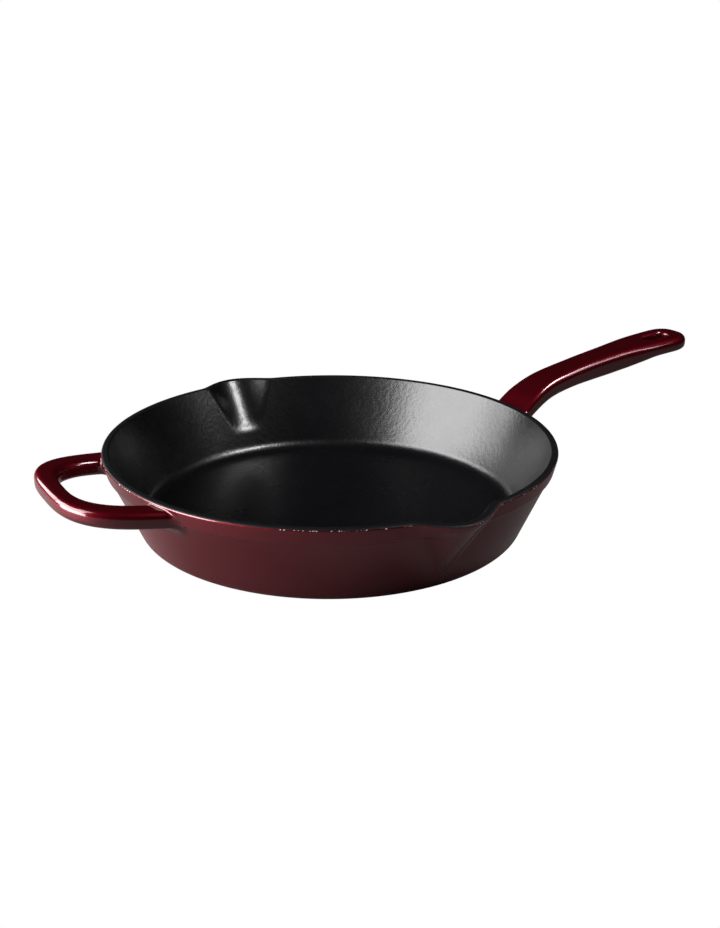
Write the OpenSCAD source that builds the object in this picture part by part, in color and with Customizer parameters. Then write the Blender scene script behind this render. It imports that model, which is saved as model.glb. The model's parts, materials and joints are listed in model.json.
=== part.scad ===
// Enamelled cast iron skillet: a flared pan with two pouring lips, a long stick handle with a hanging slot
// and a looped helper handle. One iron casting, in three regions, carries six fired enamel coats.
// Millimetres. Origin at the centre of the underside, +Z up, +X along the long handle.
// The helper handle points along -X and the pouring lips along +Y and -Y.

/* [Pan] */
// Outer radius of the rim between the pouring lips
rim_r = 150; // [145:0.5:152]
// Height of the rim above the underside
pan_h = 55; // [50:0.5:60]
// Lean of the outer wall from vertical, in degrees
wall_lean = 23.3; // [18:0.1:26]
// Thickness of the wall and of the floor, enamel included
wall_t = 5; // [4.5:0.1:6]
// Radius of the outside corner between the underside and the wall
heel_r = 6; // [4:0.5:9]
// Radius of the inside corner between the floor and the wall
cove_r = 10; // [7:0.5:14]
// Thickness of every enamel coat
coat_t = 0.5; // [0.4:0.05:0.7]

/* [Rim band] */
// Height of the raised band under the rim
band_h = 10.5; // [8:0.5:13]
// How far the lower edge of the band stands out from the wall
band_step = 1.2; // [0.8:0.1:2]
// Lean of the face of the band from vertical, in degrees
band_lean = 14; // [8:0.5:18]
// Radius on the outer edge of the rim
rim_edge_r = 1.5; // [1:0.1:2]
// Radius on the inner edge of the rim
inner_edge_r = 1; // [0.8:0.1:1.2]

/* [Pouring lips] */
// How far a lip reaches beyond the rim circle
lip_reach = 13; // [9:0.5:15]
// Lean of the outermost line of a lip from vertical, in degrees
lip_lean = 36; // [34:0.5:37]
// Half angle of the cone that forms a lip, in degrees
lip_spread = 28; // [25:0.5:30]
// Depth of the tip of the lip cone below the rim
lip_depth = 52; // [48:0.5:52]
// Thickness of a lip at the rim, square to its surface
lip_t = 5; // [4.5:0.1:6]

/* [Long handle] */
// Distance from the pan axis to the tip of the handle
handle_tip_x = 311; // [295:1:325]
// Width of the handle just outside its root
handle_root_w = 32; // [28:1:34]
// Width of the narrow waist of the handle
handle_waist_w = 26; // [22:1:28]
// Width of the paddle at the end of the handle
handle_end_w = 35; // [30:1:36]
// Height of the top of the handle at its tip
handle_tip_z = 91.5; // [86:0.5:96]
// Thickness of the grip
handle_t = 13; // [11:0.5:14]
// Thickness of the paddle at the end
handle_end_t = 10.5; // [9:0.5:11]
// Edge radius of the handle section
handle_edge_r = 3; // [2:0.5:3.5]
// Length of the hanging slot
slot_l = 25; // [18:1:28]
// Width of the hanging slot
slot_w = 11; // [9:0.5:12]

/* [Helper handle] */
// Distance from the pan axis to the outer end of the loop
helper_reach = 193.5; // [186:0.5:200]
// Outer width of the loop
helper_w = 117; // [110:1:126]
// Width of the bar at the end of the loop
helper_bar_w = 13.5; // [11:0.5:15]
// Width of each arm of the loop
helper_arm_w = 17; // [15:0.5:20]
// Thickness of the loop
helper_t = 10.5; // [9:0.5:12]
// Height of the top of the loop at its root
helper_z = 53.5; // [51:0.1:53.5]
// Upward tilt of the loop, in degrees
helper_tilt = 7; // [0:0.5:8]
// Edge radius of the loop section
helper_edge_r = 3; // [2:0.5:3.5]

/* [Hidden] */
$fn = 128;

iron = [0.30, 0.30, 0.31];
cherry = [0.38, 0.03, 0.06];
cherry_dark = [0.28, 0.02, 0.05];
satin_black = [0.06, 0.06, 0.065];

band_z = pan_h - band_h;
band_low_r = rim_r - band_h * tan(band_lean);
base_r = band_low_r - band_step - band_z * tan(wall_lean);
lip_tilt = lip_lean - lip_spread;
lip_tip_r = rim_r + lip_reach - lip_depth * tan(lip_lean);
slot_x = handle_tip_x - 24;
clear = 60; // reach of cutting solids beyond what they cut

// Points of an arc about c, radius r, from angle a0 to angle a1
function arc(c, r, a0, a1, steps = 8) =
    [for (i = [0:steps]) let (a = a0 + (a1 - a0) * i / steps) c + r * [cos(a), sin(a)]];

// Radius of the outer wall line, the band face and the inner wall line at height z
function wall_r(z) = base_r + z * tan(wall_lean);
function band_r(z) = rim_r - (pan_h - z) * tan(band_lean);
function inner_r(z) = wall_r(z) - wall_t / cos(wall_lean);

// Half section of the filled pan, with its surface moved inwards by inset
function outside_points(inset) = let (
    heel = [wall_r(heel_r) - heel_r / cos(wall_lean), heel_r],
    edge_z = pan_h - rim_edge_r,
    edge = [band_r(edge_z) - rim_edge_r / cos(band_lean), edge_z],
    step_z = band_z + inset
) concat(
    [[0, inset]],
    arc(heel, heel_r - inset, -90, -wall_lean),
    [[wall_r(step_z) - inset / cos(wall_lean), step_z], [band_r(step_z) - inset / cos(band_lean), step_z]],
    arc(edge, rim_edge_r - inset, -band_lean, 90),
    [[0, pan_h - inset]]
);

// Half section of the hollow, with its surface moved outwards by grow
function hollow_points(grow) = let (
    cove = [inner_r(wall_t + cove_r) - cove_r / cos(wall_lean), wall_t + cove_r],
    edge_z = pan_h - inner_edge_r,
    edge = [inner_r(edge_z) + inner_edge_r / cos(wall_lean), edge_z]
) concat(
    [[0, wall_t - grow]],
    arc(cove, cove_r + grow, -90, -wall_lean),
    arc(edge, inner_edge_r - grow, 180 - wall_lean, 90),
    [[edge.x, pan_h + clear], [0, pan_h + clear]]
);

// Cones of both pouring lips, each moved inwards by inset, long enough to pass the rim
module lip_cones(inset) {
    start = 3; // blunt tip, buried in the pan
    reach = lip_depth / cos(lip_tilt) + clear / 3;
    slide = inset / sin(lip_spread);
    for (side = [0, 180]) rotate([0, 0, side])
        translate([0, lip_tip_r, pan_h - lip_depth]) rotate([-lip_tilt, 0, 0])
            translate([0, 0, slide + start])
                cylinder(h = reach - slide - start, r1 = start * tan(lip_spread),
                         r2 = (reach - slide) * tan(lip_spread));
}

// Slab between two heights, wide enough for the pan and its lips
module level(z0, z1) {
    translate([-2 * rim_r, -2 * rim_r, z0]) cube([4 * rim_r, 4 * rim_r, z1 - z0]);
}

// The filled pan, lips included, with its surface moved inwards by inset
module pan_outside(inset) {
    rotate([0, 0, 90]) rotate_extrude() polygon(outside_points(inset));
    intersection() {
        lip_cones(inset + band_step);
        level(inset, pan_h - rim_edge_r);
    }
    intersection() {
        lip_cones(inset);
        level(band_z + inset, pan_h - inset);
    }
}

// The hollow of the pan with the two pouring channels, with its surface moved outwards by grow
module pan_hollow(grow) {
    rotate([0, 0, 90]) rotate_extrude() polygon(hollow_points(grow));
    lip_cones(lip_t - grow);
}

// Slope of the curve at knot i: that of the line between its neighbours
function knot_slope(knots, i) = let (a = max(i - 1, 0), b = min(i + 1, len(knots) - 1))
    (knots[b].y - knots[a].y) / (knots[b].x - knots[a].x);
function knot_before(knots, x, i = 0) =
    i >= len(knots) - 2 || x < knots[i + 1].x ? i : knot_before(knots, x, i + 1);
// Height at x of the smooth curve through [x, y] knots
function curve(knots, x) = let (
    i = knot_before(knots, x),
    span = knots[i + 1].x - knots[i].x,
    t = (x - knots[i].x) / span
) (2 * t * t * t - 3 * t * t + 1) * knots[i].y + (t * t * t - 2 * t * t + t) * span * knot_slope(knots, i)
  + (3 * t * t - 2 * t * t * t) * knots[i + 1].y + (t * t * t - t * t) * span * knot_slope(knots, i + 1);

// Section of a handle: a rectangle w by h with round corners, as [across, up] points about its centre
function bar_section(w, h, r) = let (c = min(r, 0.49 * w, 0.49 * h)) [
    for (corner = [[1, 1, 0], [-1, 1, 90], [-1, -1, 180], [1, -1, 270]])
        each arc([corner.x * (w / 2 - c), corner.y * (h / 2 - c)], c, corner.z, corner.z + 90, 3)
];

// Closed skin over a list of rings with equal numbers of points
module skin(rings) {
    n = len(rings[0]);
    last = len(rings) - 1;
    faces = concat(
        [[for (j = [0:n - 1]) j]],
        [[for (j = [n - 1:-1:0]) last * n + j]],
        [for (i = [0:last - 1]) for (j = [0:n - 1]) let (k = (j + 1) % n)
            each [[i * n + j, (i + 1) * n + k, i * n + k], [i * n + j, (i + 1) * n + j, (i + 1) * n + k]]]
    );
    polyhedron(points = [for (ring = rings) each ring], faces = faces, convexity = 6);
}

// Long handle: knots of its top line, its half width and its thickness against the distance from the pan axis
handle_start_x = 136;
handle_round_x = handle_tip_x - 21;
handle_top = [[136, 43.5], [150, 54.6], [160, 63], [174, 70.8], [190, 75.7], [222, 82], [260, 87.2],
              [handle_tip_x, handle_tip_z]];
handle_half_w = [[136, 27], [148, 19.5], [160, handle_root_w / 2], [174, 14.4], [190, 13.5],
                 [210, handle_waist_w / 2], [240, 13.8], [268, handle_end_w / 2 - 0.9],
                 [handle_tip_x, handle_end_w / 2]];
handle_depth = [[136, handle_t], [190, handle_t - 0.5], [228, handle_t + 1], [248, handle_t + 0.6],
                [276, handle_end_t + 0.2], [handle_tip_x, handle_end_t]];

// One ring of the long handle at x; shrink is 1 along the grip and falls to 0 at the rounded tip
function handle_ring(x, shrink, inset) = let (
    w = 2 * curve(handle_half_w, x) * shrink,
    h = curve(handle_depth, x) * (0.7 + 0.3 * shrink),
    mid = curve(handle_top, x) - curve(handle_depth, x) / 2
) [for (p = bar_section(w - 2 * inset, h - 2 * inset, handle_edge_r - inset)) [x, p.x, mid + p.y]];

module handle_bar(inset) {
    grip_steps = 28;
    tip_steps = 7;
    tip_power = 2 / 2.5;
    skin(concat(
        [for (i = [0:grip_steps])
            handle_ring(handle_start_x + (handle_round_x - handle_start_x) * i / grip_steps, 1, inset)],
        [for (i = [1:tip_steps]) let (a = 84 * i / tip_steps)
            handle_ring(
                handle_round_x + (handle_tip_x - handle_round_x) * pow(sin(a), tip_power) - inset * sin(a),
                pow(cos(a), tip_power), inset)]
    ));
}

// Hanging slot through the paddle, its wall moved outwards by grow
module hanging_slot(grow) {
    r = slot_w / 2 + grow;
    half = (slot_l - slot_w) / 2;
    low = handle_tip_z - clear;
    translate([slot_x, 0, low]) {
        for (end = [-half, half]) translate([end, 0, 0]) cylinder(h = 2 * clear, r = r);
        translate([-half, -r, 0]) cube([2 * half, 2 * r, 2 * clear]);
    }
}

// Everything a handle may not enter: the filled pan and the space above it
module pan_keepout(inset) {
    pan_outside(inset);
    translate([0, 0, pan_h - inset - 1]) cylinder(h = clear, r = rim_r - rim_edge_r);
}

// Helper handle: its outer and inner outlines are superellipses about the same centre, wider at the roots
helper_centre_x = 128;
helper_outer_power = 2 / 3;
helper_inner_power = 2 / 3.1;
helper_flare = 3;
helper_flare_from = 165;
helper_flare_run = 25;
function side(a) = a < 0 ? -1 : 1;
function root_flare(x) =
    x > helper_flare_from ? 0 : helper_flare * pow((helper_flare_from - x) / helper_flare_run, 2);
// Point of an outline that reaches to length at its far end; flare_sign widens or narrows it at the roots
function loop_point(a, reach, half, power, flare_sign) = let (
    x = helper_centre_x + (reach - helper_centre_x) * pow(cos(a), power)
) [x, side(a) * (half * pow(abs(sin(a)), power) + flare_sign * root_flare(x))];

// One ring of the loop at angle a from its far end, as points in the pan's frame
function loop_ring(a, inset) = let (
    outer = loop_point(a, helper_reach, helper_w / 2, helper_outer_power, 1),
    inner = loop_point(a, helper_reach - helper_bar_w, helper_w / 2 - helper_arm_w, helper_inner_power, -1),
    mid = (outer + inner) / 2,
    across = (outer - inner) / norm(outer - inner),
    section = bar_section(norm(outer - inner) - 2 * inset, helper_t - 2 * inset, helper_edge_r - inset)
) [for (p = section) let (q = mid + across * p.x)
    [-q.x, q.y, helper_z - helper_t / 2 + (q.x - rim_r) * tan(helper_tilt) + p.y]];

module helper_loop(inset) {
    steps = 44;
    skin([for (i = [0:steps]) loop_ring(-89 + 178 * i / steps, inset)]);
}

module pan_casting() {
    color(iron) difference() {
        pan_outside(coat_t);
        pan_hollow(coat_t);
    }
}

module long_handle_casting() {
    color(iron) difference() {
        handle_bar(coat_t);
        hanging_slot(coat_t);
        pan_keepout(coat_t);
    }
}

module helper_handle_casting() {
    color(iron) difference() {
        helper_loop(coat_t);
        pan_outside(coat_t);
    }
}

module interior_enamel() {
    color(satin_black) difference() {
        intersection() {
            pan_hollow(coat_t);
            level(0, pan_h - coat_t);
        }
        pan_hollow(0);
    }
}

module rim_enamel() {
    color(satin_black) difference() {
        intersection() {
            pan_outside(0);
            level(pan_h - coat_t, pan_h);
        }
        pan_hollow(0);
    }
}

module exterior_enamel() {
    color(cherry) difference() {
        intersection() {
            pan_outside(0);
            level(coat_t, pan_h - coat_t);
        }
        pan_outside(coat_t);
        handle_bar(coat_t);
        helper_loop(coat_t);
    }
}

module base_enamel() {
    color(cherry_dark) intersection() {
        pan_outside(0);
        level(0, coat_t);
    }
}

module long_handle_enamel() {
    color(cherry) difference() {
        handle_bar(0);
        hanging_slot(0);
        pan_keepout(0);
        difference() {
            handle_bar(coat_t);
            hanging_slot(coat_t);
        }
    }
}

module helper_handle_enamel() {
    color(cherry) difference() {
        helper_loop(0);
        pan_outside(0);
        helper_loop(coat_t);
    }
}

pan_casting();
long_handle_casting();
helper_handle_casting();
interior_enamel();
rim_enamel();
exterior_enamel();
base_enamel();
long_handle_enamel();
helper_handle_enamel();
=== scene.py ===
import json
import math

import bpy
import numpy as np
from mathutils import Matrix, Vector

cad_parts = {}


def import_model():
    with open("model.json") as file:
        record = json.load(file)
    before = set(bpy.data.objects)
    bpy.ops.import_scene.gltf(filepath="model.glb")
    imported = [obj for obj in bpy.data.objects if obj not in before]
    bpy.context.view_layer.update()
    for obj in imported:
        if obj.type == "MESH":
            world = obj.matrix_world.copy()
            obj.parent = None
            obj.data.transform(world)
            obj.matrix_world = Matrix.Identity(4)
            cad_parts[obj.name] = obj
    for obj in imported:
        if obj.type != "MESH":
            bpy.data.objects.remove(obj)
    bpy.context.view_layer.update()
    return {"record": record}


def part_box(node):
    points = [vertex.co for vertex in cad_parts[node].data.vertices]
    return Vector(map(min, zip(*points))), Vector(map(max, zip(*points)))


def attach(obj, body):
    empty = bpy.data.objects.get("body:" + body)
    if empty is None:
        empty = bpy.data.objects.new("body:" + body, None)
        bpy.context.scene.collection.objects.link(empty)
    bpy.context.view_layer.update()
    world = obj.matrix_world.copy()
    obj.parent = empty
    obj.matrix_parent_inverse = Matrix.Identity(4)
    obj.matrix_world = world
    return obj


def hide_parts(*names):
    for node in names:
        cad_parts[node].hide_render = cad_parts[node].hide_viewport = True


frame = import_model()

# The looks of an enamelled cast iron skillet: six enamel coats over the three regions of one iron casting.
# Shapes are worked out in millimetres in the CAD frame: +X along the long handle, lips on +Y and -Y, +Z up.
M = 0.001  # metres in a millimetre


def node_box(node):
    """Lowest and highest corner of a CAD node, in millimetres."""
    low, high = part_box(node)
    return np.array(low) / M, np.array(high) / M


# ---- sizes read from the frame ----
BASE_LOW, BASE_HIGH = node_box("base_enamel")
RIM_HIGH = node_box("rim_enamel")[1]
LIP_R = RIM_HIGH[1]  # reach of a lip from the pan axis
TIP_X = node_box("long_handle_enamel")[1][0]
SLOT_X = next(m for m in frame["record"]["mounts"] if m["name"] == "hanging_slot")["pos_m"][0] / M
COAT = BASE_HIGH[2] - BASE_LOW[2]  # thickness of an enamel coat

# ---- sizes of the pan that the boxes don't give ----
CROWN = 0.4  # how far the rounded rim rises over the flat one that the CAD draws
RIM_Z = RIM_HIGH[2] + CROWN
RIM_R = 150.5  # rim radius between the lips, before its edges are rounded
WALL_LEAN = math.radians(23.3)
BAND_LEAN = math.radians(14)
BAND_H = 10.5
BAND_STEP = 1.2  # how far the band stands out from the wall below it
WALL_T = 5.0  # thickness of the wall and the floor
HEEL_R = 6.0  # round from the underside into the wall
COVE_R = 10.0  # round from the floor into the wall
RIM_EDGE_R = 1.5
INNER_EDGE_R = 1.0
BAND_Z = RIM_Z - BAND_H
BAND_LOW_R = RIM_R - BAND_H * math.tan(BAND_LEAN)
BASE_R = BAND_LOW_R - BAND_STEP - BAND_Z * math.tan(WALL_LEAN)

LIP_HALF_W = 31.0  # half width of a lip along the rim
LIP_POWER = 1.6  # how full a lip's outline is
LIP_TIP_Z = 13.0  # height at which a lip runs out on the outer wall
LIP_TIP_SHARE = 0.16  # its width there, as a share of its width at the rim
LIP_LAND = 5.6  # width of the rim's top at the middle of a lip
LIP_DIP = 0.8  # how much lower the rim is at the middle of a lip
LIP_DIP_Z = 40.0  # height from which the surfaces follow that dip
CHANNEL_HALF_W = 27.0
CHANNEL_TIP_Z = 18.5  # height at which a lip's channel runs out on the inner wall
CHANNEL_TIP_SHARE = 0.4
SCOOP_H = 8.0  # height over which the channel's lower end is scooped


def smooth(t):
    """Eases from 0 at t = 0 to 1 at t = 1, flat at both ends and beyond them."""
    t = np.clip(t, 0, 1)
    return t * t * (3 - 2 * t)


def curve(knots, x):
    """Smooth curve through [x, y] knots, with the slope at a knot that of the line between its neighbours."""
    k = np.array(knots, float)
    low = np.maximum(np.arange(len(k)) - 1, 0)
    high = np.minimum(np.arange(len(k)) + 1, len(k) - 1)
    slope = (k[high, 1] - k[low, 1]) / (k[high, 0] - k[low, 0])
    i = np.clip(np.searchsorted(k[:, 0], x, side="right") - 1, 0, len(k) - 2)
    span = k[i + 1, 0] - k[i, 0]
    t = (x - k[i, 0]) / span
    return (
        (2 * t**3 - 3 * t**2 + 1) * k[i, 1]
        + (t**3 - 2 * t**2 + t) * span * slope[i]
        + (3 * t**2 - 2 * t**3) * k[i + 1, 1]
        + (t**3 - t**2) * span * slope[i + 1]
    )


def wall_r(z):
    """Radius of the wall's outer line at height z."""
    return BASE_R + z * math.tan(WALL_LEAN)


def band_r(z):
    """Radius of the rim band's outer line at height z."""
    return RIM_R - (RIM_Z - z) * math.tan(BAND_LEAN)


def inner_r(z):
    """Radius of the wall's inner line at height z."""
    return wall_r(z) - WALL_T / math.cos(WALL_LEAN)


def lip_shape(across, half_width, power=LIP_POWER):
    """1 at the middle of a lip, falling smoothly to 0 at its half width."""
    u = across / np.maximum(half_width, 1e-6)
    return np.clip(1 - u * u, 0, 1) ** power


def outer_lip(across, z):
    """How far a lip pushes the outer surface out, at a distance across the lip and a height."""
    t = np.clip((z - LIP_TIP_Z) / (RIM_Z - LIP_TIP_Z), 0, None)
    half_width = LIP_HALF_W * (LIP_TIP_SHARE + (1 - LIP_TIP_SHARE) * t)
    return (LIP_R - RIM_R) * t * lip_shape(across, half_width, LIP_POWER + 1 - t)


def inner_lip(across, z):
    """The same for the pouring channel on the inner surface, which ends in a rounded scoop."""
    t = np.clip((z - CHANNEL_TIP_Z) / (RIM_Z - CHANNEL_TIP_Z), 0, None)
    scoop = smooth((z - CHANNEL_TIP_Z) / SCOOP_H)
    half_width = CHANNEL_HALF_W * (CHANNEL_TIP_SHARE + (1 - CHANNEL_TIP_SHARE) * t)
    return (LIP_R - LIP_LAND - inner_r(RIM_Z)) * t * scoop * lip_shape(across, half_width)


def lip_dip(across, z):
    """How far a lip lowers a point."""
    return LIP_DIP * lip_shape(across, LIP_HALF_W) * smooth((z - LIP_DIP_Z) / (RIM_Z - LIP_DIP_Z))


# ---- half sections of the pan, as [radius, height] points ----
def arc(cx, cz, r, start, end, steps):
    """Points round a centre, between two angles in degrees: 0 faces away from the pan axis and 90 up."""
    a = np.radians(np.linspace(start, end, steps + 1))
    return np.stack([cx + r * np.cos(a), cz + r * np.sin(a)], 1)


def line(p, q, steps):
    """Points from p to q."""
    t = np.linspace(0, 1, steps + 1)[:, None]
    return (1 - t) * np.array(p, float) + t * np.array(q, float)


def chain(*parts):
    """Joins runs of points that share their end points."""
    return np.concatenate([parts[0]] + [part[1:] for part in parts[1:]])


LEAN = math.degrees(WALL_LEAN)
HEEL_X = wall_r(HEEL_R) - HEEL_R / math.cos(WALL_LEAN)
EDGE_Z = RIM_Z - RIM_EDGE_R
EDGE_X = band_r(EDGE_Z) - RIM_EDGE_R / math.cos(BAND_LEAN)
INNER_Z = RIM_Z - INNER_EDGE_R
INNER_X = inner_r(INNER_Z) + INNER_EDGE_R / math.cos(WALL_LEAN)
COVE_Z = WALL_T + COVE_R
COVE_X = inner_r(COVE_Z) - COVE_R / math.cos(WALL_LEAN)
COLOUR_EDGE = 30  # angle on the rim's outer edge at which cherry gives way to black
STEP_HALF = 0.45  # half height of the soft step from the wall out to the band
POLE_R = 1.0  # the disc at the pan axis that closes the floor and the underside


def step_points(steps=8):
    """The step from the wall out to the band, as a smooth S."""
    z = np.linspace(BAND_Z - STEP_HALF, BAND_Z + STEP_HALF, steps + 1)
    t = smooth((z - z[0]) / (z[-1] - z[0]))
    return np.stack([(1 - t) * wall_r(z) + t * band_r(z), z], 1)


HEEL = arc(HEEL_X, HEEL_R, HEEL_R, -90, -LEAN, 10)
STEP = step_points()
EDGE_LOW = arc(EDGE_X, EDGE_Z, RIM_EDGE_R, -math.degrees(BAND_LEAN), COLOUR_EDGE, 6)
EDGE_HIGH = arc(EDGE_X, EDGE_Z, RIM_EDGE_R, COLOUR_EDGE, 90, 5)
INNER_EDGE = arc(INNER_X, INNER_Z, INNER_EDGE_R, 90, 180 - LEAN, 6)
COVE = arc(COVE_X, COVE_Z, COVE_R, -LEAN, -90, 14)

BASE_SECTION = line([POLE_R, 0], HEEL[0], 20)
OUTER_SECTION = chain(HEEL, line(HEEL[-1], STEP[0], 26), STEP, line(STEP[-1], EDGE_LOW[0], 8), EDGE_LOW)
RIM_SECTION = chain(EDGE_HIGH, line(EDGE_HIGH[-1], INNER_EDGE[0], 5), INNER_EDGE)
INNER_SECTION = chain(line(INNER_EDGE[-1], COVE[0], 34), COVE, line(COVE[-1], [POLE_R, WALL_T], 20))
PROFILE = chain(OUTER_SECTION, EDGE_HIGH)  # the whole outer line, up to the rim's top


def outside_r(z):
    """Radius of the outer surface at height z, away from the lips."""
    return np.interp(z, PROFILE[:, 1], PROFILE[:, 0])


def wall_normal(p):
    """Outward normal of the outer surface at points on it."""
    rho = np.hypot(p[..., 0], p[..., 1])
    step = 0.4
    slope = (outside_r(p[..., 2] + step) - outside_r(p[..., 2] - step)) / (2 * step)
    n = np.stack([p[..., 0] / rho, p[..., 1] / rho, -slope], -1)
    return n / np.linalg.norm(n, axis=-1, keepdims=True)


def onto_wall(p):
    """Moves points horizontally, to and from the pan axis, onto the outer surface."""
    rho = np.hypot(p[..., 0], p[..., 1])
    share = outside_r(p[..., 2]) / rho
    return np.stack([p[..., 0] * share, p[..., 1] * share, p[..., 2]], -1)


# ---- meshes ----
def grid_quads(rows, cols, wrap, first):
    """Faces of a grid whose points count from first; wrap joins its last column to its first."""
    i = np.arange(rows - 1)[:, None]
    j = np.arange(cols if wrap else cols - 1)[None, :]
    k = (j + 1) % cols
    quads = np.stack([i * cols + j, i * cols + k, (i + 1) * cols + k, (i + 1) * cols + j], 2)
    return (quads.reshape(-1, 4) + first).tolist()


class Skin:
    """A closed or open surface gathered from grids; points that fall on the same place become one."""

    def __init__(self):
        self.points = np.zeros((0, 3))
        self.faces = []
        self.parts = []

    def add_grid(self, grid, part, wrap=False, flip=False, cap=False):
        """Adds rows x columns x 3 points as faces of a named part; cap closes the last row with one face."""
        rows, cols = grid.shape[:2]
        first = len(self.points)
        faces = grid_quads(rows, cols, wrap, first)
        if cap:
            faces.append([first + (rows - 1) * cols + j for j in range(cols)])
        if flip:
            faces = [face[::-1] for face in faces]
        self.points = np.concatenate([self.points, grid.reshape(-1, 3)])
        self.faces += faces
        self.parts += [part] * len(faces)

    def weld(self, decimals=4):
        """Makes one point of those that agree to so many decimals, and drops the faces that vanish."""
        key = np.round(self.points, decimals) + 0.0
        _, first, same = np.unique(key, axis=0, return_index=True, return_inverse=True)
        same = same.reshape(-1)
        faces, parts = [], []
        for face, part in zip(self.faces, self.parts):
            ring = [int(same[v]) for v in face]
            ring = [v for n, v in enumerate(ring) if v != ring[n - 1]]
            if len(ring) > 2:
                faces.append(ring)
                parts.append(part)
        self.points, self.faces, self.parts = self.points[first], faces, parts

    def close(self):
        """The faces that would close the surface's border loops."""
        following = dict((b, a) for a, b in border_edges(self.faces))
        caps = []
        while following:
            start = next(iter(following))
            loop, v = [start], following.pop(start)
            while v != start:
                loop.append(v)
                v = following.pop(v)
            caps.append(loop)
        return caps

    def settle(self):
        """Welds, turns every face outwards and works out the normals that all pieces share."""
        self.weld()
        self.caps = self.close()
        if signed_volume(self.points, self.faces + self.caps) < 0:
            self.faces = [face[::-1] for face in self.faces]
            self.caps = [face[::-1] for face in self.caps]
        self.normals = vertex_normals(self.points, self.faces)
        self.inner = self.points - COAT * self.normals
        return self


def signed_volume(points, faces):
    """Volume inside closed faces, positive when they face outwards."""
    total = 0.0
    for face in faces:
        p = points[face]
        total += float(np.einsum("ij,ij->", np.cross(p[1:-1] - p[0], p[2:] - p[0]), p[1:-1]))
    return total / 6


def vertex_normals(points, faces):
    """Unit normals at the points, weighted by the area of the faces round them."""
    normals = np.zeros_like(points)
    for size in sorted({len(f) for f in faces}):
        ring = np.array([f for f in faces if len(f) == size])
        corner = points[ring]
        centre = corner.mean(1)
        area = np.zeros_like(centre)
        for n in range(size):
            area += np.cross(corner[:, n] - centre, corner[:, (n + 1) % size] - centre)
        for n in range(size):
            np.add.at(normals, ring[:, n], area)
    return normals / np.maximum(np.linalg.norm(normals, axis=1, keepdims=True), 1e-12)


def border_edges(faces):
    """Directed edges that only one face uses."""
    seen = {(v, face[(n + 1) % len(face)]) for face in faces for n, v in enumerate(face)}
    return [e for e in sorted(seen) if (e[1], e[0]) not in seen]


def make_object(name, points, faces, sharp):
    """A smooth-shaded object of the points that the faces use, with some of its edges left sharp."""
    used = np.unique([v for face in faces for v in face])
    renumber = np.full(len(points), -1)
    renumber[used] = np.arange(len(used))
    faces = [[int(renumber[v]) for v in face] for face in faces]
    mesh = bpy.data.meshes.new(name)
    mesh.from_pydata((points[used] * M).tolist(), [], faces)
    mesh.polygons.foreach_set("use_smooth", [True] * len(mesh.polygons))
    wanted = {tuple(sorted((int(renumber[a]), int(renumber[b])))) for a, b in sharp}
    mesh.edges.foreach_set("use_edge_sharp", [tuple(sorted(e.vertices)) in wanted for e in mesh.edges])
    mesh.update()
    obj = bpy.data.objects.new(name, mesh)
    bpy.context.scene.collection.objects.link(obj)
    return obj


def coat_piece(name, skin, part=None):
    """One closed coat: its visible surface, the same surface one coat deeper, and the strip between their borders."""
    faces = [f for f, p in zip(skin.faces, skin.parts) if part is None or p == part]
    count = len(skin.points)
    border = border_edges(faces)
    strip = [[b, a, a + count, b + count] for a, b in border]
    back = [[v + count for v in reversed(face)] for face in faces]
    sharp = border + [(a + count, b + count) for a, b in border]
    return make_object(name, np.concatenate([skin.points, skin.inner]), faces + strip + back, sharp)


def core_piece(name, skin):
    """The closed iron body under the coats."""
    sharp = [(cap[n - 1], v) for cap in skin.caps for n, v in enumerate(cap)]
    return make_object(name, skin.inner, skin.faces + skin.caps, sharp)


# ---- the pan ----
LIP_SPAN = 16.5  # half the angle, in degrees, over which the columns stand twice as close
BAND_FADE_TOP = 54.9  # height at which the band's step is whole again on a lip
BAND_FADE_H = 9.0  # how far below that it has died out
BAND_FADE_RATE = 1.25  # how soon the band's step dies out on the way into a lip


def column_angles():
    """One column a degree, and two a degree across the lips."""
    fine = [lip + step for lip in (90, 270) for step in np.arange(-LIP_SPAN, LIP_SPAN + 0.5, 1.0)]
    return np.radians(np.sort(np.concatenate([np.arange(0, 360, 1.0), fine])))


THETA = column_angles()


def spin(section, push, band=False):
    """Turns a half section about the pan axis and pushes the lips out of it: rows x columns x 3 points."""
    r, z = section[:, :1], section[:, 1:]
    across = r * np.abs(np.cos(THETA))[None, :]
    radius = r + 0 * across
    if band:  # the band's step dies out on the lips
        fade = smooth(BAND_FADE_RATE * lip_shape(across, LIP_HALF_W)) * smooth((BAND_FADE_TOP - z) / BAND_FADE_H)
        on_band = z > BAND_Z - STEP_HALF
        radius = np.where(on_band, radius - fade * np.clip(r - wall_r(z), 0, None), radius)
    radius = radius + push(across, z)
    return np.stack([radius * np.cos(THETA), radius * np.sin(THETA), z - lip_dip(across, z)], 2)


def rim_grid():
    """The rim's top, spanned between the upper edges of the outer and the inner surface."""
    r, z = RIM_SECTION[:, 0], RIM_SECTION[:, 1]
    outer = spin(RIM_SECTION[:1], outer_lip, band=True)[0]
    inner = spin(RIM_SECTION[-1:], inner_lip)[0]
    share = ((r - r[-1]) / (r[0] - r[-1]))[:, None, None]
    grid = share * outer + (1 - share) * inner
    grid[:, :, 2] += (z - share[:, :, 0].T * z[0] - (1 - share[:, :, 0].T) * z[-1]).T
    return grid


def pan_skin():
    """The pan's skin, in the four parts that its coats cover."""
    skin = Skin()
    skin.add_grid(spin(BASE_SECTION[::-1], outer_lip), "base", wrap=True, flip=True, cap=True)
    skin.add_grid(spin(OUTER_SECTION, outer_lip, band=True), "exterior", wrap=True)
    skin.add_grid(rim_grid(), "rim", wrap=True)
    skin.add_grid(spin(INNER_SECTION, inner_lip), "interior", wrap=True, cap=True)
    return skin.settle()


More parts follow.
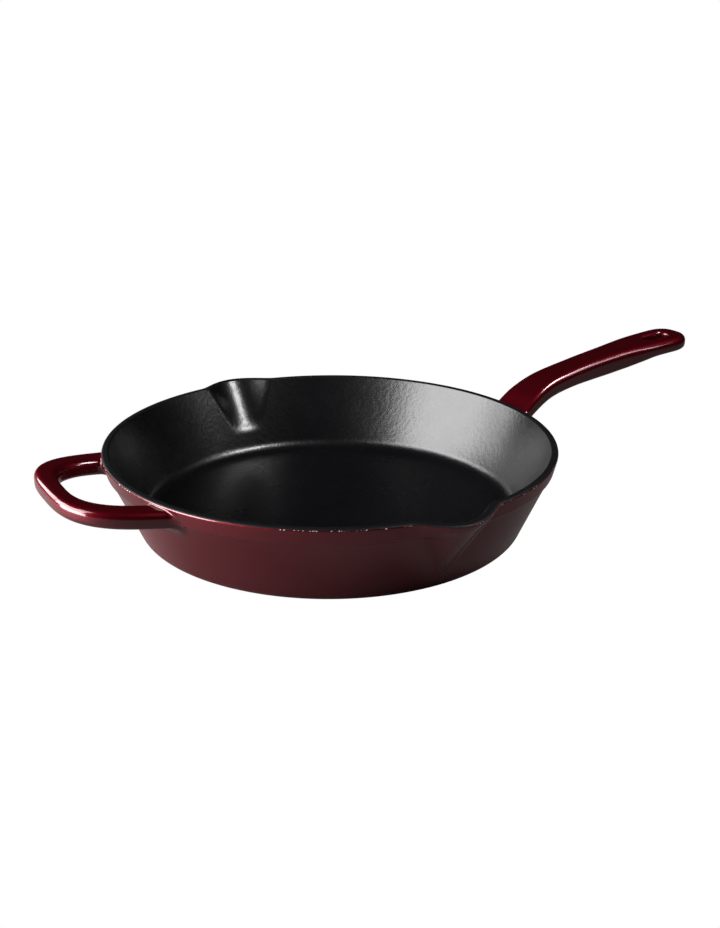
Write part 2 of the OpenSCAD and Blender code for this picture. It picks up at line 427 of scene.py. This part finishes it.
def mark_heights(obj):
    """Stores each vertex's height with the lips' dip taken out, so that a material can follow the rim's edge."""
    x, y, z = np.array([v.co for v in obj.data.vertices]).T / M
    level = z + np.where(np.abs(y) > BASE_R, lip_dip(np.abs(x), z), 0)
    heights = obj.data.attributes.new("rim_height", "FLOAT", "POINT")
    heights.data.foreach_set("value", (level * M).astype(np.float32))


# ---- handle sections: a rectangle with round corners, as columns round the section ----
TOP_STEPS = 8
CORNER_STEPS = 6
SIDE_STEPS = 3
FILLET_PULL = 0.6  # how far a root fillet's curve is drawn into its corner
BURIED = 0.3  # depth inside the wall at which a handle ends
BURIED_LEAD = 0.5  # how far past the fillet that end lies
HALVINGS = 40  # steps of the search for the place where a handle meets the wall


def section_columns():
    """For each column: which way its corner centre lies (across, up) and the direction of its normal."""
    a = np.linspace(0, 90, CORNER_STEPS + 1)
    run = np.linspace(1, -1, TOP_STEPS + 1)[1:-1]
    rise = np.linspace(1, -1, SIDE_STEPS + 1)[1:-1]
    cols = [(1, 1, v) for v in a]
    cols += [(v, 1, 90) for v in run]
    cols += [(-1, 1, 90 + v) for v in a]
    cols += [(-1, v, 180) for v in rise]
    cols += [(-1, -1, 180 + v) for v in a]
    cols += [(-v, -1, 270) for v in run]
    cols += [(1, -1, 270 + v) for v in a]
    cols += [(1, -v, 360) for v in rise]
    return np.array(cols, float)


COLS = section_columns()
FACE_ACROSS = np.cos(np.radians(COLS[:, 2]))
FACE_UP = np.sin(np.radians(COLS[:, 2]))


def section_point(w, h, top_r, low_r):
    """Across and up offsets of every column of a w by h section with these upper and lower corner radii."""
    r = np.where(COLS[:, 1] > 0, top_r, low_r)
    share = (1 + COLS[:, 1]) / 2
    across = COLS[:, 0] * (w / 2 - r) + r * FACE_ACROSS
    up = share * (h / 2 - top_r) - (1 - share) * (h / 2 - low_r) + r * FACE_UP
    return across, up


def root_fillet(surface, s_wall, outwards, radius, steps=9):
    """Rows that turn a handle's surface into the wall. surface(s) gives every column's point at its own s, with s
    growing away from the wall; s_wall is where each column meets the wall and outwards its normal there."""
    step = 0.05
    corner = surface(s_wall)
    along = surface(s_wall + step) - corner
    rate = np.linalg.norm(along, axis=1) / step
    s_start = s_wall + radius / rate
    start = surface(s_start)
    normal = wall_normal(corner)
    side = outwards - (outwards * normal).sum(1, keepdims=True) * normal
    side /= np.linalg.norm(side, axis=1, keepdims=True)
    end = onto_wall(corner + radius[:, None] * side)
    a, b = start + FILLET_PULL * (corner - start), end + FILLET_PULL * (corner - end)
    t = np.linspace(0, 1, steps + 1)[:, None, None]
    rows = (1 - t) ** 3 * start + 3 * (1 - t) ** 2 * t * a + 3 * (1 - t) * t**2 * b + t**3 * end
    buried = onto_wall(end + BURIED_LEAD * side) - BURIED * normal
    return np.concatenate([buried[None], rows[::-1]]), s_start


def meet_wall(surface, low, high):
    """For every column, the s between low and high at which its point reaches the outer surface."""
    low = np.full(len(COLS), float(low))
    high = np.full(len(COLS), float(high))
    for _ in range(HALVINGS):
        mid = (low + high) / 2
        p = surface(mid)
        inside = np.hypot(p[:, 0], p[:, 1]) < outside_r(p[:, 2])
        low = np.where(inside, mid, low)
        high = np.where(inside, high, mid)
    return (low + high) / 2


# ---- the long handle: height of its top, half its width and its depth, each as [x, value] knots ----
ROOT_X = 136  # inside the wall
GRIP_TOP = [[ROOT_X, 44], [150, 55.2], [160, 63.3], [174, 71], [190, 75.7], [222, 82], [260, 87.2], [TIP_X, 91.6]]
GRIP_HALF_W = [[ROOT_X, 17.4], [150, 16.8], [160, 16], [174, 14.3], [190, 13.5], [210, 13], [240, 13.8],
               [268, 16.6], [TIP_X, 18]]
GRIP_DEPTH = [[ROOT_X, 12.9], [160, 13], [190, 12.6], [225, 14.1], [245, 13.8], [262, 12.1], [276, 10.6],
              [TIP_X, 10.6]]
GRIP_TOP_R = 5.0
GRIP_LOW_R = 3.0
GRIP_ROWS = 56
GRIP_WALL_X = 138, 165  # the root meets the wall between these
GRIP_FILLET_R = 8.5  # at the root's sides
GRIP_FILLET_TOP_R = 0.6
GRIP_FILLET_LOW_R = 11.0
PADDLE_X = 266.0  # where the swept grip hands over to the paddle round the slot
PADDLE_SAMPLES = 60, 120  # of its outline: along a side and round half the tip
PADDLE_POINTS = 65  # kept of the whole outline
PADDLE_ROWS = 9  # from the slot's edge out to the outer edge
PADDLE_EASE = 10.0  # length over which the outline's direction turns from square to its own
ROUND_X = TIP_X - 21  # where the sides give way to the round tip
TIP_POWER = 2 / 2.5
SLOT_HALF = 7.0  # half the distance between the centres of the slot's round ends
SLOT_R = 5.5
SLOT_EDGE_R = 2.6
SLOT_EDGE_STEPS = 5
SLOT_WALL_ROWS = 4
SLOT_SAMPLES = 4001  # places tried along a direction for the slot's outline


def grip_surface(x):
    """The grip's surface, with each column of the section at its own x."""
    across, up = section_point(2 * curve(GRIP_HALF_W, x), curve(GRIP_DEPTH, x), GRIP_TOP_R, GRIP_LOW_R)
    return np.stack([x, across, curve(GRIP_TOP, x) - curve(GRIP_DEPTH, x) / 2 + up], 1)


def paddle_outline(count):
    """Points and outward directions along the paddle's outline, from its +Y corner at PADDLE_X round the tip."""
    straight = np.linspace(PADDLE_X, ROUND_X, PADDLE_SAMPLES[0])
    a = np.radians(np.linspace(0, 90, PADDLE_SAMPLES[1]))[1:]
    tip = ROUND_X + (TIP_X - ROUND_X) * np.sin(a) ** TIP_POWER
    tip_half = curve(GRIP_HALF_W, np.minimum(tip, TIP_X)) * np.cos(a).clip(0) ** TIP_POWER
    x = np.concatenate([straight, tip])
    y = np.concatenate([curve(GRIP_HALF_W, straight), tip_half])
    x, y = np.concatenate([x, x[-2::-1]]), np.concatenate([y, -y[-2::-1]])
    s = np.concatenate([[0], np.cumsum(np.hypot(np.diff(x), np.diff(y)))])
    at = np.linspace(0, s[-1], count)
    p = np.stack([np.interp(at, s, x), np.interp(at, s, y)], 1)
    step = 0.8
    near = np.clip(np.stack([at - step, at + step]), 0, s[-1])
    run = np.stack([np.diff(np.interp(near, s, x), axis=0)[0], np.diff(np.interp(near, s, y), axis=0)[0]], 1)
    out = np.stack([-run[:, 1], run[:, 0]], 1)
    out /= np.linalg.norm(out, axis=1, keepdims=True)
    ease = smooth(np.minimum(at, s[-1] - at) / PADDLE_EASE)[:, None]
    square = np.stack([0 * at, np.sign(p[:, 1])], 1)
    out = (1 - ease) * square + ease * out
    return p, out / np.linalg.norm(out, axis=1, keepdims=True)


def slot_outline(directions):
    """Point and outward direction of the slot's outline for each direction from its centre."""
    a = np.arctan2(directions[:, 1], directions[:, 0])
    c, s = np.cos(a), np.sin(a)
    distance = np.linspace(0, 2 * (SLOT_HALF + SLOT_R), SLOT_SAMPLES)[:, None]
    x, y = distance * c, distance * s
    gap = np.hypot(np.clip(np.abs(x) - SLOT_HALF, 0, None), y) - SLOT_R
    d = distance[(gap > 0).argmax(0), 0]
    p = np.stack([d * c, d * s], 1)
    out = p - np.stack([np.clip(p[:, 0], -SLOT_HALF, SLOT_HALF), 0 * d], 1)
    return p + [SLOT_X, 0], out / np.linalg.norm(out, axis=1, keepdims=True)


def paddle_height(xy, top):
    """Height of the paddle's upper or lower face."""
    z = curve(GRIP_TOP, xy[..., 0])
    return z if top else z - curve(GRIP_DEPTH, xy[..., 0])


def add_paddle(skin):
    """The end of the long handle: both faces round the slot, the slot's wall and the rounded outer edge."""
    rim, rim_out = paddle_outline(PADDLE_POINTS)
    turn = np.radians(np.linspace(0, 90, SLOT_EDGE_STEPS + 1))[:-1]
    edge = np.radians(np.linspace(90, 0, CORNER_STEPS + 1))
    t = np.linspace(0, 1, PADDLE_ROWS)[:, None, None]
    t = t * (2 - t) * 0.35 + t * 0.65  # rows a little wider near the slot
    rounds = []
    for top in (True, False):
        sign = 1 if top else -1
        r = GRIP_TOP_R if top else GRIP_LOW_R
        flat = rim - r * rim_out
        y = np.linspace(-1, 1, TOP_STEPS + 1)[1:-1] * flat[0, 1]
        seam = np.stack([np.full(len(y), PADDLE_X), y], 1)
        loop = np.concatenate([flat, seam])  # once round the slot: tip side first, then back along the grip's end
        hole, hole_out = slot_outline(loop - [SLOT_X, 0])
        plane = (1 - t) * (hole + SLOT_EDGE_R * hole_out) + t * loop
        face = np.concatenate([plane, paddle_height(plane, top)[..., None]], 2)
        ring = hole + SLOT_EDGE_R * (1 - np.cos(turn))[:, None, None] * hole_out
        z = paddle_height(ring, top) - sign * SLOT_EDGE_R * (1 - np.sin(turn))[:, None]
        round_edge = np.concatenate([ring, z[..., None]], 2)
        skin.add_grid(np.concatenate([round_edge, face]), "grip", wrap=True, flip=not top)
        rows = []
        for angle in edge:
            xy = flat + r * math.cos(angle) * rim_out
            rows.append(np.column_stack([xy, paddle_height(xy, top) - sign * r * (1 - math.sin(angle))]))
        rounds.append((rows, hole))
    (high_rows, high_hole), (low_rows, low_hole) = rounds
    share = np.linspace(0, 1, SLOT_WALL_ROWS)[:, None, None]
    high = np.column_stack([high_hole, paddle_height(high_hole, True) - SLOT_EDGE_R])
    low = np.column_stack([low_hole, paddle_height(low_hole, False) + SLOT_EDGE_R])
    skin.add_grid((1 - share) * low + share * high, "grip", wrap=True)
    share = np.linspace(0, 1, SIDE_STEPS + 1)[1:-1, None, None]
    sides = (1 - share) * high_rows[-1] + share * low_rows[-1]
    skin.add_grid(np.concatenate([high_rows, sides, low_rows[::-1]]), "grip")


def grip_skin():
    """The long handle's skin: root fillet, swept grip and paddle."""
    skin = Skin()
    s_wall = meet_wall(grip_surface, *GRIP_WALL_X)
    outwards = np.stack([0 * FACE_UP, FACE_ACROSS, FACE_UP], 1)
    radius = (
        GRIP_FILLET_R
        + (GRIP_FILLET_TOP_R - GRIP_FILLET_R) * smooth((FACE_UP - 0.1) / 0.85)
        + (GRIP_FILLET_LOW_R - GRIP_FILLET_R) * smooth(-FACE_UP)
    )
    fillet, s_start = root_fillet(grip_surface, s_wall, outwards, radius)
    t = np.linspace(0, 1, GRIP_ROWS)[1:]
    grip = np.array([grip_surface((1 - v) * s_start + v * PADDLE_X) for v in t])
    skin.add_grid(np.concatenate([fillet, grip]), "grip", wrap=True)
    add_paddle(skin)
    return skin.settle()


# ---- the helper handle: a superellipse loop, worked out on +X and turned to -X ----
LOOP_REACH = 193.6  # from the pan axis
LOOP_HALF_W = 58.6
LOOP_CENTRE_X = 128.0
LOOP_BAR_W = 13.4  # width of the bar across the end
LOOP_ARM_W = 17.0  # width of the arms at the root
LOOP_OUTER_POWER = 2 / 2.98
LOOP_INNER_POWER = 2 / 3.11
LOOP_T = 10.6
LOOP_Z = 54.2  # height of its top at the rim
LOOP_TILT = math.radians(7)
LOOP_TOP_R = 4.2
LOOP_LOW_R = 3.0
LOOP_FLARE = 1.2  # the arms widen towards the root, from LOOP_FLARE_FROM and over LOOP_FLARE_RUN
LOOP_FLARE_FROM = 165.0
LOOP_FLARE_RUN = 25.0
LOOP_SAMPLES = 900  # of half its outlines
LOOP_ROWS = 49
LOOP_WALL_S = 0, 40  # the root meets the wall between these distances along the loop
LOOP_FILLET_R = 5.0  # at the root's sides
LOOP_FILLET_TOP_R = 1.4
LOOP_FILLET_LOW_R = 6.0


def loop_outline(a, reach, half, power, sign):
    """Points of one of the loop's outlines, which the flare pushes outwards (1) or inwards (-1)."""
    x = LOOP_CENTRE_X + (reach - LOOP_CENTRE_X) * np.cos(a) ** power
    flare = LOOP_FLARE * (np.clip(LOOP_FLARE_FROM - x, 0, None) / LOOP_FLARE_RUN) ** 2
    return np.stack([x, half * np.sin(a) ** power + sign * flare], 1)


def loop_table():
    """Outer and inner outline points of half the loop against the distance along it, from the root to the middle."""
    a = np.radians(np.linspace(89.5, 0, LOOP_SAMPLES))
    outer = loop_outline(a, LOOP_REACH, LOOP_HALF_W, LOOP_OUTER_POWER, 1)
    inner = loop_outline(a, LOOP_REACH - LOOP_BAR_W, LOOP_HALF_W - LOOP_ARM_W, LOOP_INNER_POWER, -1)
    mid = (outer + inner) / 2
    s = np.concatenate([[0], np.cumsum(np.linalg.norm(np.diff(mid, axis=0), axis=1))])
    return s, outer, inner


LOOP_S, LOOP_OUTER, LOOP_INNER = loop_table()
LOOP_END = LOOP_S[-1]


def loop_frame(s):
    """Middle of the bar, direction across it and its width, at distances s along the loop."""
    outer = np.stack([np.interp(s, LOOP_S, LOOP_OUTER[:, k]) for k in (0, 1)], 1)
    inner = np.stack([np.interp(s, LOOP_S, LOOP_INNER[:, k]) for k in (0, 1)], 1)
    width = np.linalg.norm(outer - inner, axis=1)
    return (outer + inner) / 2, (outer - inner) / width[:, None], width


def loop_surface(s):
    """The loop's surface, with each column of the section at its own distance s."""
    mid, across_way, width = loop_frame(s)
    across, up = section_point(width, LOOP_T, LOOP_TOP_R, LOOP_LOW_R)
    q = mid + across_way * across[:, None]
    z = LOOP_Z - LOOP_T / 2 + (q[:, 0] - RIM_R) * math.tan(LOOP_TILT) + up
    return np.stack([-q[:, 0], q[:, 1], z], 1)


def loop_skin():
    """The helper handle's skin: one half from its root fillet to the middle, and its mirror image."""
    skin = Skin()
    s_wall = meet_wall(loop_surface, *LOOP_WALL_S)
    _, across_way, _ = loop_frame(s_wall)
    outwards = np.stack([-across_way[:, 0] * FACE_ACROSS, across_way[:, 1] * FACE_ACROSS, FACE_UP], 1)
    radius = (
        LOOP_FILLET_R
        + (LOOP_FILLET_TOP_R - LOOP_FILLET_R) * smooth(FACE_UP)
        + (LOOP_FILLET_LOW_R - LOOP_FILLET_R) * smooth(-FACE_UP)
    )
    fillet, s_start = root_fillet(loop_surface, s_wall, outwards, radius)
    t = np.linspace(0, 1, LOOP_ROWS)[1:]
    half = np.concatenate([fillet, [loop_surface((1 - v) * s_start + v * LOOP_END) for v in t]])
    other = half[-2::-1] * [1, -1, 1]
    skin.add_grid(np.concatenate([half, other]), "loop", wrap=True)
    return skin.settle()


# ---- materials: noise scales are per metre, bump depths are in metres ----
IOR = 1.5
DEEP_RED = (0.8, 0.012, 0.06, 1)
DEEP_ROUGHNESS = 0.5
BLACK_TONE = (0.0012, 0.0012, 0.0016)
# pale colour of the specks painted on the rim's edge as glints of light
EDGE_BLACK = (0.006, 0.002, 0.002)
PAINTED_GLINT = (0.75, 0.72, 0.7)
EDGE_RAG = 0.0022  # how far the ragged edge of the colour coat wanders up and down
SPECK_H = 1.1  # height below the crown from which specks show


def material(name):
    """A new node material, with its nodes, links and main shader."""
    mat = bpy.data.materials.new(name)
    mat.use_nodes = True
    nodes = mat.node_tree.nodes
    return mat, nodes, mat.node_tree.links, nodes["Principled BSDF"]


def noise(nodes, links, scale, detail=3.0, roughness=0.5, stretch=(1, 1, 1)):
    """Noise in the object's own space."""
    place = nodes.new("ShaderNodeTexCoord")
    mapping = nodes.new("ShaderNodeMapping")
    mapping.inputs["Scale"].default_value = stretch
    tex = nodes.new("ShaderNodeTexNoise")
    tex.inputs["Scale"].default_value = scale
    tex.inputs["Detail"].default_value = detail
    tex.inputs["Roughness"].default_value = roughness
    links.new(place.outputs["Object"], mapping.inputs["Vector"])
    links.new(mapping.outputs["Vector"], tex.inputs["Vector"])
    return tex.outputs["Fac"]


def ramp(nodes, links, value, stops):
    """Colour ramp through (position, colour or grey) stops."""
    node = nodes.new("ShaderNodeValToRGB")
    while len(node.color_ramp.elements) < len(stops):
        node.color_ramp.elements.new(0.5)
    for element, (at, colour) in zip(node.color_ramp.elements, stops):
        element.position = at
        element.color = (*colour, 1) if isinstance(colour, tuple) else (colour, colour, colour, 1)
    links.new(value, node.inputs["Fac"])
    return node.outputs["Color"]


def bump(nodes, links, shader, heights):
    """Chains bumps of (height output, depth in metres) onto a shader's normal."""
    last = None
    for height, depth in heights:
        node = nodes.new("ShaderNodeBump")
        node.inputs["Distance"].default_value = depth
        node.inputs["Strength"].default_value = 1.0
        links.new(height, node.inputs["Height"])
        if last is not None:
            links.new(last, node.inputs["Normal"])
        last = node.outputs["Normal"]
    links.new(last, shader.inputs["Normal"])


def math_node(nodes, links, operation, *values):
    node = nodes.new("ShaderNodeMath")
    node.operation = operation
    for n, value in enumerate(values):
        if isinstance(value, (int, float)):
            node.inputs[n].default_value = value
        else:
            links.new(value, node.inputs[n])
    return node.outputs[0]


def blend(nodes, links, share, colour, other):
    """The linked colour where the share is 0 and the other, plain colour where it is 1."""
    node = nodes.new("ShaderNodeMix")
    node.data_type = "RGBA"
    colour_in, other_in = node.inputs[6:8]  # its A and B sockets for colours
    links.new(share, node.inputs["Factor"])
    links.new(colour, colour_in)
    other_in.default_value = (*other, 1)
    return node.outputs[2]


def ragged_edge_and_glints(nodes, links, colour):
    """Where the colour coat thins out over the rim's edge: a ragged black border, with a few pale specks painted on
    it as glints of light.
    """
    height = nodes.new("ShaderNodeAttribute")
    height.attribute_name = "rim_height"
    level = height.outputs["Fac"]
    ragged = math_node(nodes, links, "MULTIPLY_ADD", noise(nodes, links, 420, 4, 0.7), EDGE_RAG, level)
    share = math_node(nodes, links, "GREATER_THAN", ragged, RIM_Z * M + 0.00045)
    colour = blend(nodes, links, share, colour, EDGE_BLACK)
    # pale specks painted near the top of the rim's edge as glints of light
    speck = math_node(nodes, links, "GREATER_THAN", noise(nodes, links, 1100, 2, 0.5), 0.61)
    patch = math_node(nodes, links, "GREATER_THAN", noise(nodes, links, 60, 2, 0.5), 0.48)
    near = math_node(nodes, links, "GREATER_THAN", level, (RIM_Z - SPECK_H) * M)
    painted_glints = math_node(nodes, links, "MULTIPLY", math_node(nodes, links, "MULTIPLY", speck, patch), near)
    return blend(nodes, links, painted_glints, colour, PAINTED_GLINT)


def cherry_enamel(name, rough, depth, edge=False):
    """Clear red glaze. The depth is the share of light that goes through the glaze and comes back red."""
    mat, nodes, links, shader = material(name)
    tone = noise(nodes, links, 22, 4)
    colour = ramp(nodes, links, tone, [(0.32, (0.010, 0.0004, 0.0007)), (0.7, (0.014, 0.0005, 0.001))])
    if edge:
        colour = ragged_edge_and_glints(nodes, links, colour)
    links.new(colour, shader.inputs["Base Color"])
    wear = noise(nodes, links, 60, 4, 0.6)
    links.new(ramp(nodes, links, wear, [(0.3, rough), (0.75, rough + 0.04)]), shader.inputs["Roughness"])
    shader.inputs["IOR"].default_value = IOR
    peel = noise(nodes, links, 230, 2, 0.4)
    wave = noise(nodes, links, 45, 2, 0.4)
    bump(nodes, links, shader, [(wave, 0.00003), (peel, 0.000003)])
    deep = nodes.new("ShaderNodeBsdfGlossy")
    deep.inputs["Color"].default_value = DEEP_RED
    deep.inputs["Roughness"].default_value = DEEP_ROUGHNESS
    mix = nodes.new("ShaderNodeMixShader")
    mix.inputs["Fac"].default_value = depth
    links.new(shader.outputs["BSDF"], mix.inputs[1])
    links.new(deep.outputs["BSDF"], mix.inputs[2])
    links.new(mix.outputs["Shader"], nodes["Material Output"].inputs["Surface"])
    return mat


def black_enamel(name, rough, peel_depth, sheen=0.5):
    """Satin black with an orange peel. The sheen is the strength of its reflection."""
    mat, nodes, links, shader = material(name)
    tone = noise(nodes, links, 30, 5, 0.6)
    lighter = tuple(1.6 * c for c in BLACK_TONE)
    links.new(ramp(nodes, links, tone, [(0.35, BLACK_TONE), (0.75, lighter)]), shader.inputs["Base Color"])
    wear = noise(nodes, links, 90, 5, 0.6)
    links.new(ramp(nodes, links, wear, [(0.3, rough), (0.75, rough + 0.03)]), shader.inputs["Roughness"])
    shader.inputs["Specular IOR Level"].default_value = sheen
    shader.inputs["IOR"].default_value = IOR
    peel = noise(nodes, links, 330, 3, 0.45)
    grain = noise(nodes, links, 1500, 2, 0.5)
    wave = noise(nodes, links, 50, 2, 0.4)
    bump(nodes, links, shader, [(wave, 0.00006), (peel, peel_depth), (grain, peel_depth / 4)])
    return mat


def scuffed_enamel(name):
    """The underside's red, dulled by fine scratches."""
    mat, nodes, links, shader = material(name)
    tone = noise(nodes, links, 26, 5, 0.6)
    reds = ramp(nodes, links, tone, [(0.3, (0.07, 0.004, 0.008)), (0.75, (0.12, 0.008, 0.014))])
    links.new(reds, shader.inputs["Base Color"])
    scratches = noise(nodes, links, 90, 8, 0.75, (1, 5, 1))
    links.new(ramp(nodes, links, scratches, [(0.35, 0.26), (0.65, 0.5)]), shader.inputs["Roughness"])
    bump(nodes, links, shader, [(noise(nodes, links, 260, 3, 0.5), 0.0001)])
    return mat


def cast_iron(name):
    mat, nodes, links, shader = material(name)
    tone = noise(nodes, links, 300, 6, 0.6)
    links.new(ramp(nodes, links, tone, [(0.3, 0.035), (0.75, 0.09)]), shader.inputs["Base Color"])
    shader.inputs["Metallic"].default_value = 0.8
    shader.inputs["Roughness"].default_value = 0.62
    bump(nodes, links, shader, [(noise(nodes, links, 900, 5, 0.6), 0.0003)])
    return mat


CHERRY = cherry_enamel("cherry_enamel", rough=0.11, depth=0.05)
CHERRY_WALL = cherry_enamel("cherry_enamel_wall", rough=0.16, depth=0.1, edge=True)
BLACK = black_enamel("satin_black_enamel", rough=0.27, peel_depth=0.00013)
RIM_BLACK = black_enamel("rim_enamel", rough=0.5, peel_depth=0.0002, sheen=0.14)
SCUFFED = scuffed_enamel("base_enamel")
IRON = cast_iron("cast_iron")

PAN = pan_skin()
GRIP = grip_skin()
LOOP = loop_skin()
pieces = [
    (core_piece("pan_iron", PAN), IRON, "iron", "pan_casting"),
    (core_piece("long_handle_iron", GRIP), IRON, "iron", "long_handle_casting"),
    (core_piece("helper_handle_iron", LOOP), IRON, "iron", "helper_handle_casting"),
    (coat_piece("interior_coat", PAN, "interior"), BLACK, "black_enamel", "interior_enamel"),
    (coat_piece("rim_coat", PAN, "rim"), RIM_BLACK, "rim_enamel", "rim_enamel"),
    (coat_piece("exterior_coat", PAN, "exterior"), CHERRY_WALL, "cherry_enamel", "exterior_enamel"),
    (coat_piece("base_coat", PAN, "base"), SCUFFED, "base_enamel", "base_enamel"),
    (coat_piece("long_handle_coat", GRIP), CHERRY, "cherry_enamel", "long_handle_enamel"),
    (coat_piece("helper_handle_coat", LOOP), CHERRY, "cherry_enamel", "helper_handle_enamel"),
]
mark_heights(bpy.data.objects["exterior_coat"])
for piece, mat, slot, node in pieces:
    piece.data.materials.append(mat)
    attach(piece, "root")
    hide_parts(node)


# ---- the camera, as it stands to the pan, in metres ----
CAM_AZIMUTH = math.radians(-30.5)
CAM_ELEVATION = math.radians(20.76)
CAM_ROLL = math.radians(0.32)
CAM_DISTANCE = 0.7933
CAM_RIGHT = 0.01973
CAM_UP = 0.03461
LENS_MM = 45
SENSOR_MM = 36


# ---- studio: a pale floor and large soft lights, in metres and watts ----
FLOOR_HALF = 6.0
FLOOR_DROP = 0.0005  # keeps the floor clear of the underside
FLOOR_GREY = 0.135
WORLD_STRENGTH = 0.004
LIGHT_TARGET = Vector((0, 0, 0.03))


def area_light(name, centre, size, power):
    """A rectangular light that faces the pan and that the camera doesn't see."""
    data = bpy.data.lights.new(name, "AREA")
    data.shape = "RECTANGLE"
    data.size, data.size_y = size
    data.energy = power
    obj = bpy.data.objects.new(name, data)
    bpy.context.scene.collection.objects.link(obj)
    obj.location = centre
    obj.rotation_mode = "QUATERNION"
    obj.rotation_quaternion = (LIGHT_TARGET - Vector(centre)).to_track_quat("-Z", "Y")
    obj.visible_camera = False


def white_to_camera(nodes, links, shader_out, target):
    """Shows a plain white to the camera and keeps the real shader for light and reflections."""
    path = nodes.new("ShaderNodeLightPath")
    white = nodes.new("ShaderNodeEmission")
    white.inputs["Color"].default_value = (1, 1, 1, 1)
    mix = nodes.new("ShaderNodeMixShader")
    links.new(path.outputs["Is Camera Ray"], mix.inputs["Fac"])
    links.new(shader_out, mix.inputs[1])
    links.new(white.outputs["Emission"], mix.inputs[2])
    links.new(mix.outputs["Shader"], target)


def floor():
    """A plain pale floor."""
    corners = [(x * FLOOR_HALF, y * FLOOR_HALF, 0) for x, y in ((-1, -1), (1, -1), (1, 1), (-1, 1))]
    mesh = bpy.data.meshes.new("floor")
    mesh.from_pydata(corners, [], [(0, 1, 2, 3)])
    obj = bpy.data.objects.new("floor", mesh)
    bpy.context.scene.collection.objects.link(obj)
    obj.location.z = -FLOOR_DROP
    mat, nodes, links, shader = material("floor")
    shader.inputs["Base Color"].default_value = (FLOOR_GREY, FLOOR_GREY, FLOOR_GREY, 1)
    shader.inputs["Roughness"].default_value = 0.9
    white_to_camera(nodes, links, shader.outputs["BSDF"], nodes["Material Output"].inputs["Surface"])
    mesh.materials.append(mat)


def world():
    """A plain white backdrop that gives next to no light."""
    scene_world = bpy.data.worlds.new("studio")
    scene_world.use_nodes = True
    bpy.context.scene.world = scene_world
    nodes, links = scene_world.node_tree.nodes, scene_world.node_tree.links
    dim = nodes["Background"]
    dim.inputs["Color"].default_value = (1, 1, 1, 1)
    dim.inputs["Strength"].default_value = WORLD_STRENGTH
    white_to_camera(nodes, links, dim.outputs["Background"], nodes["World Output"].inputs["Surface"])


def bearing(azimuth, elevation, distance):
    """A place seen from the pan: azimuth from straight away from the camera, growing to its right, in degrees."""
    a, e = math.radians(azimuth) - CAM_AZIMUTH, math.radians(elevation)
    flat = distance * math.cos(e)
    return (flat * math.sin(a), flat * math.cos(a), distance * math.sin(e))


floor()
world()
area_light("key", bearing(-104, 26, 0.9), (0.84, 0.5), 18.5)
area_light("fill", bearing(-66, 22, 0.9), (0.34, 0.34), 3)
area_light("kicker", bearing(-118, 9, 0.42), (0.26, 0.12), 2.0)
area_light("strip", bearing(98, 56, 0.9), (0.28, 0.18), 6.5)
area_light("edge_strip", bearing(94, 40, 0.9), (0.08, 0.34), 0.9)
area_light("top", bearing(-120, 46, 0.9), (0.34, 0.34), 3)


def add_camera():
    """Looks from its bearing towards the pan axis, moved a little to the right and up."""
    data = bpy.data.cameras.new("camera")
    data.lens = LENS_MM
    data.sensor_width = SENSOR_MM
    data.clip_start = 0.01
    obj = bpy.data.objects.new("camera", data)
    bpy.context.scene.collection.objects.link(obj)
    a, e = CAM_AZIMUTH, CAM_ELEVATION
    back = Vector((math.sin(a) * math.cos(e), -math.cos(a) * math.cos(e), math.sin(e)))
    right = Vector((math.cos(a), math.sin(a), 0))
    up = back.cross(right)
    r = CAM_ROLL
    right, up = right * math.cos(r) + up * math.sin(r), up * math.cos(r) - right * math.sin(r)
    place = back * CAM_DISTANCE + right * CAM_RIGHT + up * CAM_UP
    axes = Matrix((right, up, back)).transposed()
    obj.matrix_world = Matrix.Translation(place) @ axes.to_4x4()
    bpy.context.scene.camera = obj


add_camera()
bpy.context.scene.view_settings.view_transform = "Standard"
